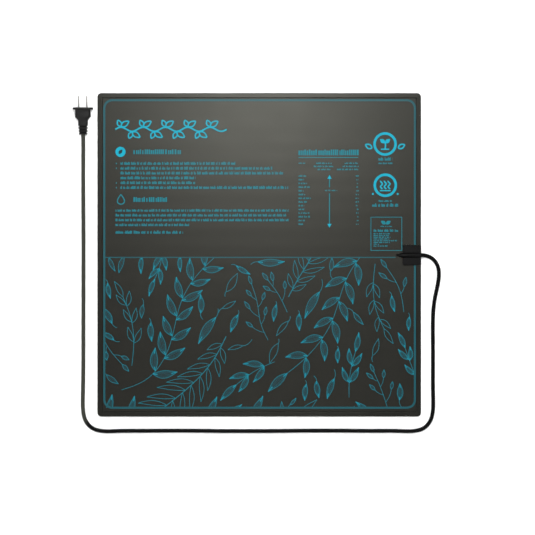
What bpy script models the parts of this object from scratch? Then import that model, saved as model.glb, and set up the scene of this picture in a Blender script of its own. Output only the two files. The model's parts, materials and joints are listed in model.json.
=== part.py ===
"""Seedling heat mat: a square laminated mat with a raised edge frame, a power entry and a mains lead.

Frame: origin at the centre of the mat's underside, +Z up, +X towards the edge where the lead leaves,
+Y towards the printed heading. Blender units are metres.
"""

import math

import bmesh
import bpy
import numpy as np
from mathutils import Matrix, Vector

MM = 0.001
CLEARANCE = 0.3 * MM  # between pieces that meet
GLUE_LINE = 0.1 * MM  # between laminated layers

# Driving dimensions of the mat
MAT_SIDE = 508 * MM
MAT_HALF = MAT_SIDE / 2
CORNER_RADIUS = 6 * MM
CORNER_STEPS = 5
COVER_THICK = 0.5 * MM
INSULATION_THICK = 0.7 * MM
FOIL_THICK = 0.1 * MM
WIRE_RADIUS = 0.55 * MM

# Heights of the layers above the floor
INSULATION_Z = COVER_THICK + GLUE_LINE
REFLECTOR_Z = INSULATION_Z + INSULATION_THICK + GLUE_LINE
WIRE_Z = REFLECTOR_Z + FOIL_THICK + GLUE_LINE + WIRE_RADIUS
SPREADER_Z = WIRE_Z + WIRE_RADIUS + GLUE_LINE
TOP_COVER_Z = SPREADER_Z + FOIL_THICK + GLUE_LINE
PANEL_Z = TOP_COVER_Z + COVER_THICK

# Edge frame: its width on the panel, its height, and the rebate that takes the layers' edges
FRAME_WIDTH = 8 * MM
FRAME_TOP_Z = 4.6 * MM
FRAME_FOOT = 4 * MM
FRAME_SHOULDER = 1.1 * MM
FRAME_BEVEL = 1.6 * MM
FRAME_LIP = 0.35 * MM  # how far the bevel stops above the panel
MARGIN_STEP = 0.1 * MM  # the top cover's welded margin lies this far below the panel
MARGIN_WIDTH = FRAME_WIDTH + 0.4 * MM

# Heating wire: rows joined by half turns, with a lane on the right for its two ends
WIRE_ROWS = 18
ROW_PITCH = 27 * MM
TURN_STEPS = 6
ROW_REACH = 192 * MM  # where a straight row ends, on the right
ROW_START = -222 * MM
LANE_X = 216 * MM
LEAD_TURN = 6 * MM  # the bend where each end turns from the lane into the power entry

# Power entry: a two-piece housing let into the right edge
ENTRY_Y = -0.6 * MM
ENTRY_LEFT = 225.5 * MM
ENTRY_HALF_WIDTH = 15.5 * MM
ENTRY_BASE_TOP = 4.8 * MM
ENTRY_COVER_TOP = 5.6 * MM
NOSE_LEFT = 215.3 * MM
CAVITY_LEFT = 228 * MM
CAVITY_RIGHT = 243.7 * MM
CAVITY_HALF_WIDTH = 9 * MM
CAVITY_FLOOR = 0.9 * MM
CORD_RADIUS = 3.1 * MM
CORD_AXIS_Z = 4.7 * MM
RIDGE_RADIUS = CORD_RADIUS + CLEARANCE + 0.8 * MM
CORE_RADIUS = 0.9 * MM
CORE_SPREAD = 1.5 * MM  # half the distance between the cores in the lead
SPLICE_Y = 4.5 * MM  # half the distance between the two splices
SPLICE_Z = 2.45 * MM
SPLICE_LEFT = 230.5 * MM
SPLICE_RIGHT = 236.5 * MM
SPLICE_RADIUS = 1.0 * MM

# Plug, along its own axis from the end of its neck
PLUG_X = -276.2 * MM
PLUG_END_Y = 188.9 * MM
NECK_LENGTH = 22.4 * MM
TAPER_END = 28.2 * MM
FLANGE_BACK = 38.7 * MM
PLUG_FACE = 42.2 * MM
NECK_HALF = (6.6 * MM, 4.8 * MM)
NECK_ROOT_HALF = (7.55 * MM, 5.3 * MM)
GRIP_HALF = (12.2 * MM, 6.7 * MM)
FLANGE_HALF = (15.6 * MM, 8.5 * MM)
RIB_GROOVES = 3
RIB_PITCH = 4.7 * MM
FIRST_GROOVE = 2.7 * MM
GROOVE_HALF_WIDTH = 0.7 * MM
GROOVE_DEPTH = 0.8 * MM
TAIL_LENGTH = 14 * MM  # how far the lead runs into the neck
INSERT_HALF = (9.5 * MM, 5.2 * MM)
INSERT_BACK = 32.5 * MM
BLADE_SPACING = 12.7 * MM
BLADE_THICK = 1.5 * MM
BLADE_WIDTH = 6.35 * MM
BLADE_LENGTH = 18 * MM
BLADE_TAIL_END = 28.5 * MM
BLADE_TAIL_WIDTH = 3.5 * MM
BLADE_HOLE_RADIUS = 1.6 * MM
BLADE_HOLE_REACH = 11.7 * MM

# The lead's route between the power entry and the plug, as (x, y) in millimetres. It lies on the
# floor, apart from its first points, whose heights are given too.
CORD_ROUTE = [
    (254.3, -0.6, 4.7), (257.8, -0.7, 4.5), (265.6, -2.5, 3.9), (273.2, -7.2, 3.35), (279, -14.8),
    (281.9, -25), (281.7, -37), (279.6, -50), (276.6, -64), (274.1, -79), (272.9, -96),
    (272.6, -125), (272.8, -170), (272.9, -215), (272.8, -243), (269, -259.9), (257.8, -272.3),
    (241, -276.7), (220, -276.6), (180, -276.4), (110, -276), (30, -276.5), (-50, -276.6),
    (-130, -276.1), (-190, -276.3), (-222, -276.6), (-244.8, -276.7), (-261.6, -272.3),
    (-272.8, -259.9), (-276.6, -243), (-276.8, -218), (-276.1, -110), (-275.9, -30), (-276, 50),
    (-276.3, 120), (-276.2, 155),
]
CORD_SPACING = 16.8 * MM
CORD_STUB = 4 * MM  # the lead leaves its two ends straight for this far

MATERIALS = {
    "printed_vinyl": ((0.060, 0.060, 0.052), 0.45, 0.0),
    "base_vinyl": ((0.020, 0.020, 0.018), 0.60, 0.0),
    "frame_vinyl": ((0.030, 0.030, 0.026), 0.45, 0.0),
    "entry_plastic": ((0.013, 0.013, 0.013), 0.50, 0.0),
    "felt": ((0.70, 0.70, 0.66), 0.95, 0.0),
    "foil": ((0.80, 0.80, 0.82), 0.25, 1.0),
    "wire_silicone": ((0.55, 0.10, 0.07), 0.50, 0.0),
    "lead_jacket": ((0.015, 0.015, 0.015), 0.45, 0.0),
    "line_core_jacket": ((0.010, 0.010, 0.010), 0.40, 0.0),
    "neutral_core_jacket": ((0.75, 0.75, 0.72), 0.40, 0.0),
    "crimp_tin": ((0.72, 0.70, 0.66), 0.35, 1.0),
    "shrink_tube": ((0.02, 0.02, 0.02), 0.55, 0.0),
    "potting": ((0.10, 0.10, 0.09), 0.35, 0.0),
    "plug_vinyl": ((0.020, 0.020, 0.020), 0.50, 0.0),
    "insert_plastic": ((0.030, 0.030, 0.030), 0.45, 0.0),
    "nickel": ((0.70, 0.69, 0.66), 0.28, 1.0),
}


def clear_scene():
    for obj in list(bpy.data.objects):
        bpy.data.objects.remove(obj)


def material(name):
    """The named material, made on first use."""
    if name in bpy.data.materials:
        return bpy.data.materials[name]
    colour, roughness, metallic = MATERIALS[name]
    made = bpy.data.materials.new(name)
    made.use_nodes = True
    shader = made.node_tree.nodes["Principled BSDF"]
    shader.inputs["Base Color"].default_value = (*colour, 1)
    shader.inputs["Roughness"].default_value = roughness
    shader.inputs["Metallic"].default_value = metallic
    return made


def add_object(name, data, finish):
    obj = bpy.data.objects.new(name, data)
    bpy.context.scene.collection.objects.link(obj)
    if finish:
        data.materials.append(material(finish))
    return obj


def mesh_object(name, bm, finish, smooth=False):
    """An object from bm, with its faces turned outwards."""
    bmesh.ops.recalc_face_normals(bm, faces=bm.faces)
    mesh = bpy.data.meshes.new(name)
    bm.to_mesh(mesh)
    bm.free()
    if smooth:
        mesh.shade_smooth()
        mesh.set_sharp_from_angle(angle=math.radians(30))
    return add_object(name, mesh, finish)


def as_cutter(obj):
    obj.hide_render = True
    obj.display_type = "WIRE"
    return obj


def combine(obj, other, operation):
    """Joins other to obj or cuts it away, and keeps other as a hidden helper."""
    modifier = obj.modifiers.new(f"{operation.lower()} {other.name}", "BOOLEAN")
    modifier.operation = operation
    modifier.solver = "EXACT"
    modifier.object = as_cutter(other)


def box(name, low, high, finish=None):
    bm = bmesh.new()
    bmesh.ops.create_cube(bm, size=1)
    for vertex in bm.verts:
        vertex.co = [lo + (hi - lo) * (c + 0.5) for c, lo, hi in zip(vertex.co, low, high)]
    return mesh_object(name, bm, finish)


def rod(name, start, end, radius, finish=None, sides=16):
    """A round bar from start to end."""
    start, end = Vector(start), Vector(end)
    turn = (end - start).to_track_quat("Z", "Y").to_matrix().to_4x4()
    bm = bmesh.new()
    bmesh.ops.create_cone(
        bm, cap_ends=True, segments=sides, radius1=radius, radius2=radius,
        depth=(end - start).length, matrix=Matrix.Translation((start + end) / 2) @ turn,
    )
    return mesh_object(name, bm, finish, smooth=True)


def prism(name, outline, rise, finish=None):
    """outline, points in one plane, extruded by the vector rise."""
    bm = bmesh.new()
    face = bm.faces.new([bm.verts.new(point) for point in outline])
    made = bmesh.ops.extrude_face_region(bm, geom=[face])
    top = [part for part in made["geom"] if isinstance(part, bmesh.types.BMVert)]
    bmesh.ops.translate(bm, vec=rise, verts=top)
    return mesh_object(name, bm, finish)


def rounded_rectangle(half_x, half_y, radius, steps=CORNER_STEPS):
    """The outline's (x, y) points, anticlockwise from the lower right corner."""
    points = []
    for corner, (sx, sy) in enumerate([(1, -1), (1, 1), (-1, 1), (-1, -1)]):
        for step in range(steps + 1):
            angle = math.pi / 2 * (corner - 1 + step / steps)
            points.append((
                sx * (half_x - radius) + radius * math.cos(angle),
                sy * (half_y - radius) + radius * math.sin(angle),
            ))
    return points


def loft(name, loops, finish, closed=False):
    """A skin through loops of points with equal counts, capped at both ends, or joined end to end."""
    bm = bmesh.new()
    rings = [[bm.verts.new(p) for p in loop] for loop in loops]
    pairs = list(zip(rings, rings[1:] + rings[:1])) if closed else list(zip(rings, rings[1:]))
    for ring, following in pairs:
        for i in range(len(ring)):
            j = (i + 1) % len(ring)
            bm.faces.new((ring[i], ring[j], following[j], following[i]))
    if not closed:
        bm.faces.new(reversed(rings[0]))
        bm.faces.new(rings[-1])
    return mesh_object(name, bm, finish, smooth=True)


def mat_loop(inset, z):
    """The mat's outline, moved in by inset, at height z."""
    half = MAT_HALF - inset
    radius = max(CORNER_RADIUS - inset, 1 * MM)
    return [(x, y, z) for x, y in rounded_rectangle(half, half, radius)]


def layer(name, inset, low, thick, finish):
    return loft(name, [mat_loop(inset, low), mat_loop(inset, low + thick)], finish)


def smooth_route(points, spacing):
    """Evenly spaced points on the natural cubic spline through the given points."""
    points = np.array(points, float)
    knots = np.concatenate([[0], np.cumsum(np.linalg.norm(np.diff(points, axis=0), axis=1))])
    gaps = np.diff(knots)
    count = len(points)
    system, slopes = np.eye(count), np.zeros_like(points)
    for i in range(1, count - 1):
        system[i, i - 1:i + 2] = gaps[i - 1], 2 * (gaps[i - 1] + gaps[i]), gaps[i]
        slopes[i] = 6 * (
            (points[i + 1] - points[i]) / gaps[i] - (points[i] - points[i - 1]) / gaps[i - 1]
        )
    bends = np.linalg.solve(system, slopes)
    at = np.linspace(0, knots[-1], 60 * count)
    i = np.clip(np.searchsorted(knots, at) - 1, 0, count - 2)
    gap = gaps[i][:, None]
    right = (at - knots[i])[:, None] / gap
    left = 1 - right
    fine = (
        left * points[i] + right * points[i + 1]
        + ((left**3 - left) * bends[i] + (right**3 - right) * bends[i + 1]) * gap**2 / 6
    )
    along = np.concatenate([[0], np.cumsum(np.linalg.norm(np.diff(fine, axis=0), axis=1))])
    places = np.linspace(0, along[-1], math.ceil(along[-1] / spacing) + 1)
    return np.stack([np.interp(places, along, fine[:, k]) for k in range(3)], axis=1)


def tube(name, points, radius, finish, bevel_resolution=2):
    """A round tube with closed ends along the points."""
    curve = bpy.data.curves.new(name, "CURVE")
    curve.dimensions = "3D"
    curve.bevel_depth = radius
    curve.bevel_resolution = bevel_resolution
    curve.use_fill_caps = True
    spline = curve.splines.new("POLY")
    spline.points.add(len(points) - 1)
    for place, point in zip(spline.points, points):
        place.co = (*point, 1)
    return add_object(name, curve, finish)


def arc(centre, radius, first_degrees, last_degrees, steps):
    """(x, y) points on an arc, both ends included."""
    angles = np.radians(np.linspace(first_degrees, last_degrees, steps + 1))
    return [(centre[0] + radius * math.cos(a), centre[1] + radius * math.sin(a)) for a in angles]


def build_covers():
    """The two outer vinyl sheets. The top one has a thinner margin, which the edge frame covers."""
    layer("bottom_cover", 0, 0, COVER_THICK, "base_vinyl")
    edge = FRAME_FOOT + CLEARANCE
    margin_z = PANEL_Z - MARGIN_STEP
    return loft("top_cover", [
        mat_loop(edge, TOP_COVER_Z),
        mat_loop(edge, margin_z),
        mat_loop(MARGIN_WIDTH, margin_z),
        mat_loop(MARGIN_WIDTH + MARGIN_STEP, PANEL_Z),
    ], "printed_vinyl")


def build_inner_layers():
    """Insulating felt below, then a foil on each side of the heating wire."""
    inset = FRAME_FOOT + 2 * CLEARANCE
    return [
        layer("insulation_felt", inset, INSULATION_Z, INSULATION_THICK, "felt"),
        layer("reflector_foil", inset, REFLECTOR_Z, FOIL_THICK, "foil"),
        layer("heat_spreader_foil", inset, SPREADER_Z, FOIL_THICK, "foil"),
    ]


def build_edge_frame():
    """The raised frame welded round the edge, with a rounded outer shoulder and a lip over the margin."""
    foot_z = COVER_THICK + GLUE_LINE
    profile = [
        (0, foot_z),
        (0, FRAME_TOP_Z - FRAME_SHOULDER),
        (0.3 * FRAME_SHOULDER, FRAME_TOP_Z - 0.3 * FRAME_SHOULDER),
        (FRAME_SHOULDER, FRAME_TOP_Z),
        (FRAME_WIDTH - FRAME_BEVEL, FRAME_TOP_Z),
        (FRAME_WIDTH, PANEL_Z + FRAME_LIP),
        (FRAME_WIDTH, PANEL_Z),
        (FRAME_FOOT, PANEL_Z),
        (FRAME_FOOT, foot_z),
    ]
    return loft("edge_frame", [mat_loop(*point) for point in profile], "frame_vinyl", closed=True)


def build_heating_wire():
    """One wire: up the lane, back and forth across the mat, and up the lane again from below."""
    turn = ROW_PITCH / 2
    top = turn * (WIRE_ROWS - 1)
    end_x = SPLICE_LEFT - CLEARANCE
    points = [(end_x, ENTRY_Y + SPLICE_Y)]
    points += arc(
        (LANE_X + LEAD_TURN, ENTRY_Y + SPLICE_Y + LEAD_TURN), LEAD_TURN, 270, 180, TURN_STEPS
    )
    points += arc((LANE_X - turn, top - turn), turn, 0, 90, TURN_STEPS)
    for row in range(WIRE_ROWS - 1):
        middle = top - turn - row * ROW_PITCH
        if row % 2 == 0:
            points += arc((ROW_START, middle), turn, 90, 270, TURN_STEPS)
        else:
            points += arc((ROW_REACH, middle), turn, 90, -90, TURN_STEPS)
    points += arc((LANE_X - turn, turn - top), turn, -90, 0, TURN_STEPS)
    points += arc(
        (LANE_X + LEAD_TURN, ENTRY_Y - SPLICE_Y - LEAD_TURN), LEAD_TURN, 180, 90, TURN_STEPS
    )
    points.append((end_x, ENTRY_Y - SPLICE_Y))
    tube("heating_wire", [(x, y, WIRE_Z) for x, y in points], WIRE_RADIUS, "wire_silicone", 1)


def entry_box(name, left, right, half_width, low, high, finish=None):
    """A box centred on the power entry's line."""
    return box(
        name, (left, ENTRY_Y - half_width, low), (right, ENTRY_Y + half_width, high), finish
    )


def ridge_section(x, half_width, low, top):
    """A round-topped section of the cover's ridge at x, from low up to top."""
    steps = 12
    shoulder = low + 0.12 * (top - low)
    points = [(x, ENTRY_Y - half_width, low), (x, ENTRY_Y + half_width, low)]
    for step in range(steps + 1):
        angle = math.pi * step / steps
        points.append((
            x,
            ENTRY_Y + half_width * math.cos(angle),
            shoulder + (top - shoulder) * math.sin(angle),
        ))
    return points


def build_power_entry():
    """The housing's base and cover, whose ridge and tapered nose hold the end of the lead."""
    base = entry_box(
        "entry_base", ENTRY_LEFT, MAT_HALF, ENTRY_HALF_WIDTH,
        COVER_THICK + GLUE_LINE, ENTRY_BASE_TOP, "entry_plastic",
    )
    combine(base, entry_box(
        "entry_cavity", CAVITY_LEFT, CAVITY_RIGHT, CAVITY_HALF_WIDTH,
        CAVITY_FLOOR, ENTRY_BASE_TOP + MM,
    ), "DIFFERENCE")
    bore = rod(
        "entry_bore", (CAVITY_LEFT, ENTRY_Y, CORD_AXIS_Z), (MAT_HALF + MM, ENTRY_Y, CORD_AXIS_Z),
        CORD_RADIUS + CLEARANCE, sides=20,
    )
    combine(base, bore, "DIFFERENCE")
    for side in (-1, 1):
        y = ENTRY_Y + side * SPLICE_Y
        combine(base, rod(
            f"wire_hole_{side}", (ENTRY_LEFT - MM, y, WIRE_Z), (CAVITY_LEFT + MM, y, WIRE_Z),
            WIRE_RADIUS + CLEARANCE, sides=12,
        ), "DIFFERENCE")

    cover = entry_box(
        "entry_cover", ENTRY_LEFT, MAT_HALF, ENTRY_HALF_WIDTH,
        ENTRY_BASE_TOP - MM, ENTRY_COVER_TOP, "entry_plastic",
    )
    nose_low, ridge_top = PANEL_Z + CLEARANCE, CORD_AXIS_Z + RIDGE_RADIUS
    combine(cover, loft("entry_ridge", [
        ridge_section(MAT_HALF - 0.2 * MM, RIDGE_RADIUS, nose_low, ridge_top),
        ridge_section(ENTRY_LEFT - MM, RIDGE_RADIUS, nose_low, ridge_top),
        ridge_section(0.5 * (ENTRY_LEFT + NOSE_LEFT), 0.72 * RIDGE_RADIUS, nose_low, 7 * MM),
        ridge_section(NOSE_LEFT, 0.3 * RIDGE_RADIUS, nose_low, 4.6 * MM),
    ], None), "UNION")
    combine(cover, entry_box(
        "entry_seat", ENTRY_LEFT - CLEARANCE, MAT_HALF + MM, ENTRY_HALF_WIDTH + MM,
        0, ENTRY_BASE_TOP + GLUE_LINE,
    ), "DIFFERENCE")
    combine(cover, bore, "DIFFERENCE")
    return entry_box(
        "entry_pocket", ENTRY_LEFT - CLEARANCE, MAT_HALF + MM, ENTRY_HALF_WIDTH + CLEARANCE,
        COVER_THICK + 0.5 * GLUE_LINE, FRAME_TOP_Z + MM,
    )


def core_route(first, last):
    """A core's route from the lead's end to a splice or blade, leaving and arriving along one axis."""
    first, last = Vector(first), Vector(last)
    step = last - first
    main = max(range(3), key=lambda axis: abs(step[axis]))
    ahead = Vector([0.18 * step[axis] if axis == main else 0 for axis in range(3)])
    return smooth_route([first, first + ahead, (first + last) / 2, last - ahead, last], MM)


def build_splices():
    """Inside the housing: the end of the lead, its two cores, their splices and the potting."""
    rod(
        "lead_tail", (CAVITY_RIGHT + CLEARANCE, ENTRY_Y, CORD_AXIS_Z),
        (MAT_HALF, ENTRY_Y, CORD_AXIS_Z), CORD_RADIUS, "lead_jacket", sides=20,
    )
    sleeve_left, sleeve_right = SPLICE_LEFT - 0.8 * MM, SPLICE_RIGHT + 0.8 * MM
    potting = entry_box(
        "potting_compound", sleeve_left + CLEARANCE, sleeve_right - CLEARANCE,
        CAVITY_HALF_WIDTH - CLEARANCE, CAVITY_FLOOR + 0.05 * MM, ENTRY_BASE_TOP - GLUE_LINE,
        "potting",
    )
    for name, side in (("line", 1), ("neutral", -1)):
        y = ENTRY_Y + side * SPLICE_Y
        rod(
            f"{name}_crimp", (SPLICE_LEFT, y, SPLICE_Z), (SPLICE_RIGHT, y, SPLICE_Z),
            SPLICE_RADIUS, "crimp_tin",
        )
        ends = (sleeve_left, y, SPLICE_Z), (sleeve_right, y, SPLICE_Z)
        sleeve = rod(f"{name}_shrink_sleeve", *ends, SPLICE_RADIUS + 0.35 * MM, "shrink_tube")
        combine(sleeve, rod(
            f"{name}_sleeve_bore", (sleeve_left - MM, y, SPLICE_Z),
            (sleeve_right + MM, y, SPLICE_Z), SPLICE_RADIUS + 0.1 * MM,
        ), "DIFFERENCE")
        combine(potting, rod(
            f"{name}_potting_channel", (sleeve_left - MM, y, SPLICE_Z),
            (sleeve_right + MM, y, SPLICE_Z), SPLICE_RADIUS + 0.45 * MM,
        ), "DIFFERENCE")
        route = core_route(
            (CAVITY_RIGHT, ENTRY_Y + side * CORE_SPREAD, CORD_AXIS_Z),
            (SPLICE_RIGHT + CLEARANCE, y, SPLICE_Z),
        )
        tube(f"{name}_core", route, CORE_RADIUS, f"{name}_core_jacket")


def plug_section(y, half, bevel=0.0):
    """A rounded rectangle across the plug's axis at y."""
    half_x, half_z = half[0] - bevel, half[1] - bevel
    return [(x, y, z) for x, z in rounded_rectangle(half_x, half_z, 0.62 * half_z, 4)]


def neck_half(y):
    """The neck's half width and half height at y."""
    share = min(y / NECK_LENGTH, 1)
    return [end + share * (root - end) for end, root in zip(NECK_HALF, NECK_ROOT_HALF)]


def plug_skin():
    """Sections from the neck's end to the plug's face, with grooves round the neck."""
    loops = [plug_section(0, neck_half(0), 0.6 * MM), plug_section(0.6 * MM, neck_half(0))]
    for groove in range(RIB_GROOVES):
        middle = FIRST_GROOVE + groove * RIB_PITCH
        for offset, depth in ((-1.4, 0), (-0.8, 1), (0.8, 1), (1.4, 0)):
            y = middle + offset * GROOVE_HALF_WIDTH
            loops.append(plug_section(y, neck_half(y), depth * GROOVE_DEPTH))
    loops += [
        plug_section(NECK_LENGTH, NECK_ROOT_HALF),
        plug_section(TAPER_END, GRIP_HALF),
        plug_section(FLANGE_BACK - 0.5 * MM, GRIP_HALF),
        plug_section(FLANGE_BACK, FLANGE_HALF, 0.3 * MM),
        plug_section(FLANGE_BACK + 0.5 * MM, FLANGE_HALF),
        plug_section(PLUG_FACE - 0.6 * MM, FLANGE_HALF),
        plug_section(PLUG_FACE, FLANGE_HALF, 0.5 * MM),
    ]
    return loops


def build_plug_body():
    """The moulded body, cored out for the insert, the blades' tails, the cores and the lead."""
    body = loft("plug_body", plug_skin(), "plug_vinyl")
    pocket_half = [half + CLEARANCE for half in INSERT_HALF]
    combine(body, box(
        "plug_pocket", (-pocket_half[0], INSERT_BACK - CLEARANCE, -pocket_half[1]),
        (pocket_half[0], PLUG_FACE + MM, pocket_half[1]),
    ), "DIFFERENCE")
    half_tail = 0.5 * BLADE_SPACING + 1.55 * MM
    throat = CORD_RADIUS + 0.25 * MM
    chamber = [
        (-throat, TAIL_LENGTH - MM), (throat, TAIL_LENGTH - MM), (throat, TAIL_LENGTH + 2.5 * MM),
        (half_tail, BLADE_TAIL_END - 2 * MM), (half_tail, INSERT_BACK + MM),
        (-half_tail, INSERT_BACK + MM), (-half_tail, BLADE_TAIL_END - 2 * MM),
        (-throat, TAIL_LENGTH + 2.5 * MM),
    ]
    chamber_half = 0.5 * BLADE_TAIL_WIDTH + 0.45 * MM
    floor = [(x, y, -chamber_half) for x, y in chamber]
    combine(body, prism("plug_chamber", floor, (0, 0, 2 * chamber_half)), "DIFFERENCE")
    combine(body, rod(
        "plug_bore", (0, -MM, 0), (0, TAIL_LENGTH + CLEARANCE, 0), CORD_RADIUS + CLEARANCE, sides=20,
    ), "DIFFERENCE")
    return body


def blade(name, x):
    """A flat blade with a chamfered tip, a round hole and a narrow tail."""
    tip, hip = PLUG_FACE + BLADE_LENGTH, INSERT_BACK + 1.5 * MM
    chamfer = 1.2 * MM
    half, tail_half = 0.5 * BLADE_WIDTH, 0.5 * BLADE_TAIL_WIDTH
    outline = [
        (BLADE_TAIL_END, -tail_half), (hip, -tail_half), (hip, -half), (tip - chamfer, -half),
        (tip, chamfer - half), (tip, half - chamfer), (tip - chamfer, half), (hip, half),
        (hip, tail_half), (BLADE_TAIL_END, tail_half),
    ]
    side = [(x - BLADE_THICK / 2, y, z) for y, z in outline]
    obj = prism(name, side, (BLADE_THICK, 0, 0), "nickel")
    hole_y = PLUG_FACE + BLADE_HOLE_REACH
    hole = rod(f"{name}_hole", (x - 2 * MM, hole_y, 0), (x + 2 * MM, hole_y, 0), BLADE_HOLE_RADIUS)
    combine(obj, hole, "DIFFERENCE")
    return obj, hole


def build_plug():
    """The plug along +Y from the origin, then laid on the floor by its parent empty."""
    insert = box(
        "plug_insert", (-INSERT_HALF[0], INSERT_BACK, -INSERT_HALF[1]),
        (INSERT_HALF[0], PLUG_FACE, INSERT_HALF[1]), "insert_plastic",
    )
    pieces = [build_plug_body(), insert]
    pieces.append(rod(
        "plug_lead_tail", (0, 0, 0), (0, TAIL_LENGTH, 0), CORD_RADIUS, "lead_jacket", sides=20,
    ))
    for name, side in (("line", 1), ("neutral", -1)):
        x = side * BLADE_SPACING / 2
        slot_x, slot_z = BLADE_THICK / 2 + 0.2 * MM, BLADE_WIDTH / 2 + 0.2 * MM
        combine(insert, box(
            f"{name}_slot", (x - slot_x, INSERT_BACK - MM, -slot_z),
            (x + slot_x, PLUG_FACE + MM, slot_z),
        ), "DIFFERENCE")
        pieces += blade(f"{name}_blade", x)
        route = core_route(
            (side * CORE_SPREAD, TAIL_LENGTH + CLEARANCE, 0), (x, BLADE_TAIL_END - CLEARANCE, 0)
        )
        pieces.append(tube(f"plug_{name}_core", route, CORE_RADIUS, f"{name}_core_jacket"))
    helpers = ("plug_pocket", "plug_chamber", "plug_bore", "line_slot", "neutral_slot")
    pieces += [bpy.data.objects[name] for name in helpers]
    seat = bpy.data.objects.new("plug_seat", None)
    bpy.context.scene.collection.objects.link(seat)
    seat.matrix_world = plug_place()
    for piece in pieces:
        piece.parent = seat


def plug_place():
    """The plug rests on its flange and on the end of its neck, so its face tips up a little."""
    tilt = math.atan2(FLANGE_HALF[1] - NECK_HALF[1], FLANGE_BACK)
    rise = NECK_HALF[1] * math.cos(tilt) + 0.1 * MM
    return Matrix.Translation((PLUG_X, PLUG_END_Y, rise)) @ Matrix.Rotation(tilt, 4, "X")


def cord_points():
    """The lead's centreline: out of the entry, down to the floor, round the mat and up into the plug."""
    route = [Vector((*point, CORD_RADIUS / MM)[:3]) * MM for point in CORD_ROUTE]
    seat = plug_place()
    route += [seat @ Vector((0, -back, 0)) for back in (13 * MM, CLEARANCE)]
    points = smooth_route(route, CORD_SPACING)
    points[:, 2] = np.maximum(points[:, 2], CORD_RADIUS)
    ahead = seat.to_3x3() @ Vector((0, CORD_STUB, 0))
    stubs = np.array(route[0] + Vector((CORD_STUB, 0, 0))), np.array(route[-1] - ahead)
    return [points[0], stubs[0], *points[1:-1], stubs[1], points[-1]]


def main():
    clear_scene()
    top_cover = build_covers()
    inner_layers = build_inner_layers()
    edge_frame = build_edge_frame()
    build_heating_wire()
    pocket = build_power_entry()
    for piece in [top_cover, edge_frame, *inner_layers]:
        combine(piece, pocket, "DIFFERENCE")
    build_splices()
    build_plug()
    tube("power_cord", cord_points(), CORD_RADIUS, "lead_jacket")


main()
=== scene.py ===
"""The looks of a seedling heat mat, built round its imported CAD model.

The frame is the CAD model's: the origin is at the centre of the mat's underside, +Z is up, and the
lead leaves the right edge, at +X. Blender units are metres. The print is laid out in millimetres.
"""

import json
import math
import random

import bmesh
import bpy
import numpy as np
from mathutils import Matrix, Vector


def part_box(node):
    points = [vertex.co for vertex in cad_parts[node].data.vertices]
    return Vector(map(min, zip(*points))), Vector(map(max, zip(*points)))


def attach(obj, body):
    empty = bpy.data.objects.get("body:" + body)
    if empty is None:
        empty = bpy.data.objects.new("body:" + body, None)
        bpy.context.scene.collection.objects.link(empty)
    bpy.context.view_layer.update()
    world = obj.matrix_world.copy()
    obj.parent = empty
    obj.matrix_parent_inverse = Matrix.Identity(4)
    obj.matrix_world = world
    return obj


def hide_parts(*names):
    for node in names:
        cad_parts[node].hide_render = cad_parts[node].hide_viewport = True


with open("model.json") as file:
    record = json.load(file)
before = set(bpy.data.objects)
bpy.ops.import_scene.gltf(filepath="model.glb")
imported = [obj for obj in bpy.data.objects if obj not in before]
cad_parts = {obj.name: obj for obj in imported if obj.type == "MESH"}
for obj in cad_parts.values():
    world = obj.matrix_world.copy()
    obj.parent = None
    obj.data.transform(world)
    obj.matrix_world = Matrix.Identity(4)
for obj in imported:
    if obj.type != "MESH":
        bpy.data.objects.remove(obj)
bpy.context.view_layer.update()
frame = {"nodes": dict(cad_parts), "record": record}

MM = 0.001
PANEL_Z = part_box("top_cover")[1].z
RIM_LOW, RIM_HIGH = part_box("edge_frame")
PATCH_LOW, PATCH_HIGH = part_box("entry_cover")
BASE_LOW, BASE_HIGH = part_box("entry_base")
CORD_RADIUS = 3.1 * MM

# The lead's route, from inside the power entry to the plug's neck, in metres
CORD_Z = CORD_RADIUS
CORD_ROUTE = [
    (0.2543, -0.0006, 0.0047), (0.2578, -0.0007, 0.0045), (0.2656, -0.0025, 0.0039),
    (0.2732, -0.0072, 0.00335), (0.279, -0.0148, CORD_Z), (0.2819, -0.025, CORD_Z),
    (0.2817, -0.037, CORD_Z), (0.2796, -0.05, CORD_Z), (0.2766, -0.064, CORD_Z),
    (0.2741, -0.079, CORD_Z), (0.2729, -0.096, CORD_Z), (0.2726, -0.125, CORD_Z),
    (0.2728, -0.17, CORD_Z), (0.2729, -0.215, CORD_Z), (0.2728, -0.243, CORD_Z),
    (0.269, -0.2599, CORD_Z), (0.2578, -0.2723, CORD_Z), (0.241, -0.2767, CORD_Z),
    (0.22, -0.2766, CORD_Z), (0.18, -0.2764, CORD_Z), (0.11, -0.276, CORD_Z),
    (0.03, -0.2765, CORD_Z), (-0.05, -0.2766, CORD_Z), (-0.13, -0.2761, CORD_Z),
    (-0.19, -0.2763, CORD_Z), (-0.222, -0.2766, CORD_Z), (-0.2448, -0.2767, CORD_Z),
    (-0.2616, -0.2723, CORD_Z), (-0.2728, -0.2599, CORD_Z), (-0.2766, -0.243, CORD_Z),
    (-0.2768, -0.218, CORD_Z), (-0.2761, -0.11, CORD_Z), (-0.2759, -0.03, CORD_Z),
    (-0.276, 0.05, CORD_Z), (-0.2763, 0.12, CORD_Z), (-0.2762, 0.155, CORD_Z),
]
TAIL_IN_ENTRY = 10 * MM
TAIL_IN_PLUG = 14 * MM
PALER_FROM, PALER_BY = -0.268, -0.275  # the x between which the lead's left run turns paler: a painted sheen

PLUG_FACE = 42.2 * MM  # from the end of the plug's neck, along its own +Y
BLADE_SPACING = 12.7 * MM
BLADE_SIZE = Vector((1.5, 18, 6.35)) * MM


# Meshes


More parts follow.
